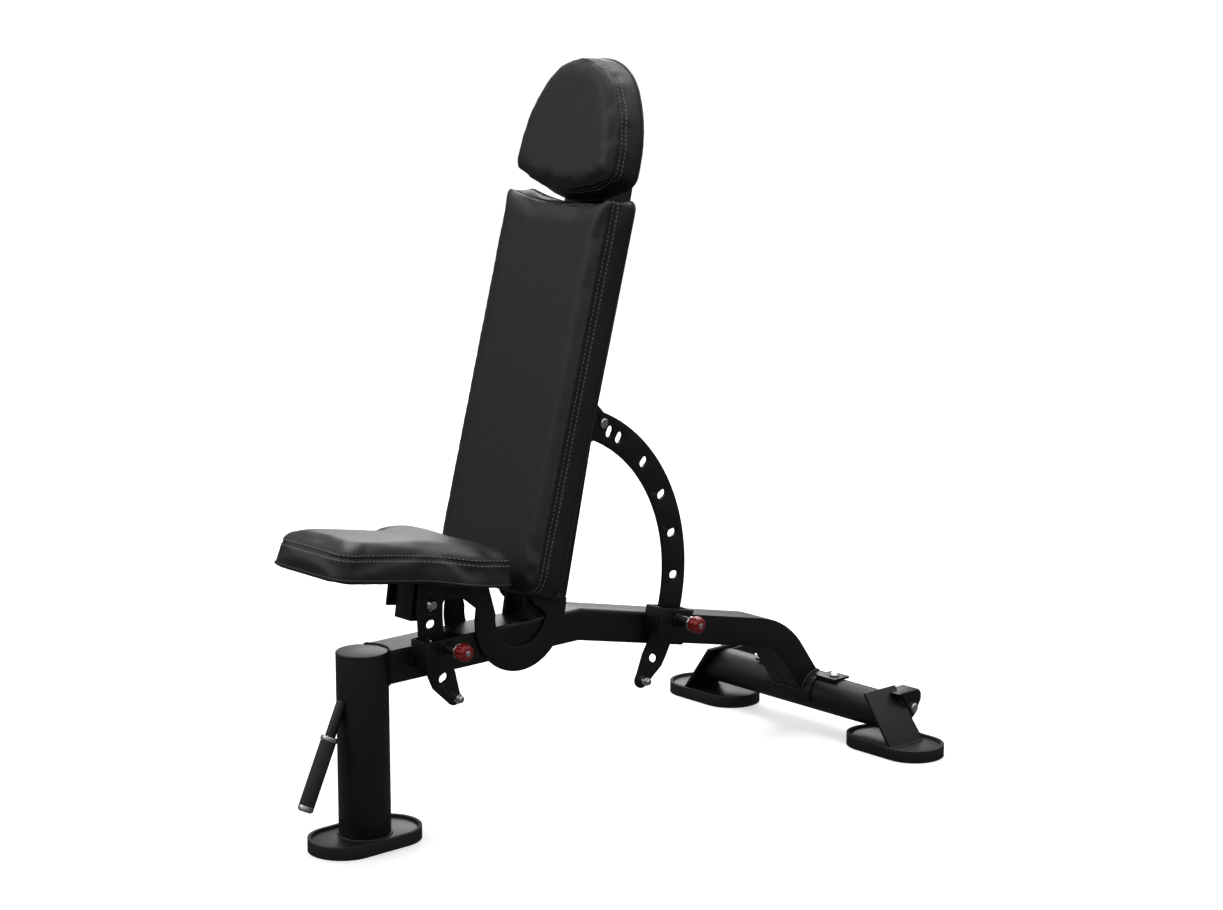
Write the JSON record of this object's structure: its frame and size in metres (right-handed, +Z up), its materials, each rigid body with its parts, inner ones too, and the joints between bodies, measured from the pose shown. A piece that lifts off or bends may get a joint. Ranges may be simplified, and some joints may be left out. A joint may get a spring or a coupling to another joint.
{
  "type": "adjustable weight bench",
  "caption": "Adjustable weight bench: one-beam steel frame on rubber feet, tilting seat, reclining backrest with head pad, pin-locked sectors, front handle and rear wheels.",
  "frame": {"origin": "bottom centre of the bench's bounding box, on the floor", "axes": "+Z up; the user sits facing -Y, with the front post and handle at -Y; +X is the side with the pull pins"},
  "size_m": [0.689, 1.2685, 1.3084],
  "materials": {
    "frame_paint": "satin",
    "foot_rubber": "matte",
    "grip_rubber": "matte",
    "aluminium": "satin",
    "chrome": "polished",
    "black_screws": "satin",
    "spring_steel": "satin",
    "red_plastic": "gloss",
    "wheel_hub": "matte",
    "wheel_tyre": "matte",
    "plywood": "matte",
    "black_vinyl": "satin"
  },
  "bodies": {
    "frame": {"front_rubber_foot": "foot_rubber", "front_base_plate": "frame_paint", "front_post": "frame_paint", "post_top_cap": "frame_paint", "handle_tube": "frame_paint", "handle_collar": "aluminium", "handle_grip": "grip_rubber", "handle_end_cap": "aluminium", "front_beam": "frame_paint", "rear_beam": "frame_paint", "arch_tube_left": "frame_paint", "arch_tube_right": "frame_paint", "rear_cross_tube": "frame_paint", "saddle": "frame_paint", "saddle_bolts": "chrome", "leg_end_plate_left": "frame_paint", "leg_end_plate_right": "frame_paint", "rear_base_left_plate": "frame_paint", "rear_base_right_plate": "frame_paint", "rear_left_rubber_foot": "foot_rubber", "rear_right_rubber_foot": "foot_rubber", "wheel_bracket_left": "frame_paint", "wheel_bracket_right": "frame_paint", "wheel_axle_bolts": "chrome", "pivot_tower_plates": "frame_paint", "pivot_bush": "frame_paint", "pivot_shaft": "chrome", "back_sleeve": "frame_paint", "seat_sleeve": "frame_paint", "seat_pin_barrel": "frame_paint", "back_pin_barrel": "frame_paint", "pin_springs": "spring_steel"},
    "seat": {"seat_side_plate_right": "frame_paint", "seat_side_plate_left": "frame_paint", "seat_strut": "frame_paint", "seat_sector": "frame_paint", "seat_sector_bolt": "chrome", "seat_stop_bolt": "chrome", "seat_board": "plywood", "seat_pad": "black_vinyl", "seat_cross_plates": "frame_paint", "seat_screws": "black_screws"},
    "backrest": {"back_channel": "frame_paint", "back_sector": "frame_paint", "back_sector_bolt": "chrome", "back_stop_bolt": "chrome", "back_board": "plywood", "back_pad": "black_vinyl", "head_board": "plywood", "head_pad": "black_vinyl", "back_cross_plates": "frame_paint", "back_screws": "black_screws"},
    "seat_pin": {"seat_pin": "chrome", "seat_pin_knob": "red_plastic"},
    "back_pin": {"back_pin": "chrome", "back_pin_knob": "red_plastic"},
    "wheel_left": {"wheel_hub_left": "wheel_hub", "wheel_tyre_left": "wheel_tyre"},
    "wheel_right": {"wheel_hub_right": "wheel_hub", "wheel_tyre_right": "wheel_tyre"}
  },
  "joints": [
    {"name": "backrest_tilt", "type": "hinge", "parent": "frame", "child": "backrest", "pos_m": [0, -0.1347, 0.387], "axis": [-1, 0, 0], "range_deg": [-15, 80]},
    {"name": "seat_tilt", "type": "hinge", "parent": "frame", "child": "seat", "pos_m": [0, -0.1347, 0.387], "axis": [-1, 0, 0], "range_deg": [-7.6, 15.3]},
    {"name": "back_pin_pull", "type": "slide", "parent": "frame", "child": "back_pin", "axis": [1, 0, 0], "range_m": [-0.012, 0]},
    {"name": "seat_pin_pull", "type": "slide", "parent": "frame", "child": "seat_pin", "axis": [1, 0, 0], "range_m": [-0.012, 0]},
    {"name": "wheel_left_spin", "type": "hinge", "parent": "frame", "child": "wheel_left", "pos_m": [-0.22, 0.6143, 0.069], "axis": [1, 0, 0], "continuous": true},
    {"name": "wheel_right_spin", "type": "hinge", "parent": "frame", "child": "wheel_right", "pos_m": [0.22, 0.6143, 0.069], "axis": [1, 0, 0], "continuous": true}
  ]
}
